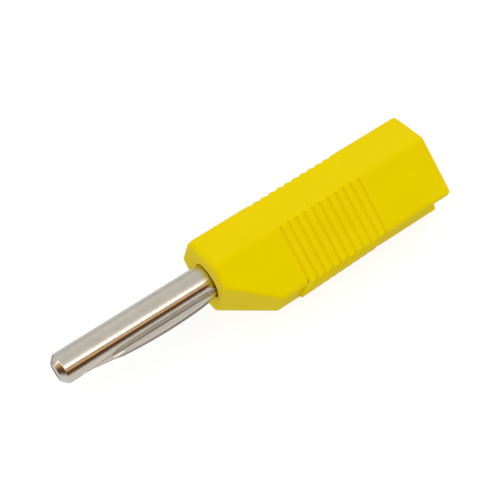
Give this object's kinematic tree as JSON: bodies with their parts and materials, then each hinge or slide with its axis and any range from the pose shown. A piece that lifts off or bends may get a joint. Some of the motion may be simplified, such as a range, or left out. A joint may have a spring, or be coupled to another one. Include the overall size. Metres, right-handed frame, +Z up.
{
  "type": "banana plug",
  "caption": "Banana plug with a ribbed faceted insulating housing, a plated pin with a bowed spring leaf, and a screw clamp for the wire at its open rear end.",
  "frame": {"origin": "on the pin's axis, in the plane of the housing's front face", "axes": "+X along the pin towards its tip, +Z up with the plug lying on one of its wide lower side faces"},
  "size_m": [0.0472, 0.0117, 0.0092],
  "materials": {
    "housing_plastic": "moulded yellow polyamide, fine satin surface",
    "plated_brass": "turned brass, bright nickel plating",
    "spring_bronze": "rolled spring bronze, nickel plated",
    "screw_steel": "turned steel, zinc plated"
  },
  "bodies": {
    "plug": {"housing": "housing_plastic", "contact_pin": "plated_brass", "spring_leaf": "spring_bronze"},
    "screw": {"clamp_screw": "screw_steel"}
  },
  "joints": [
    {"name": "clamp_screw_travel", "type": "slide", "parent": "plug", "child": "screw", "axis": [0, 0.9227, -0.3856], "range_m": [0, 0.0014]}
  ]
}
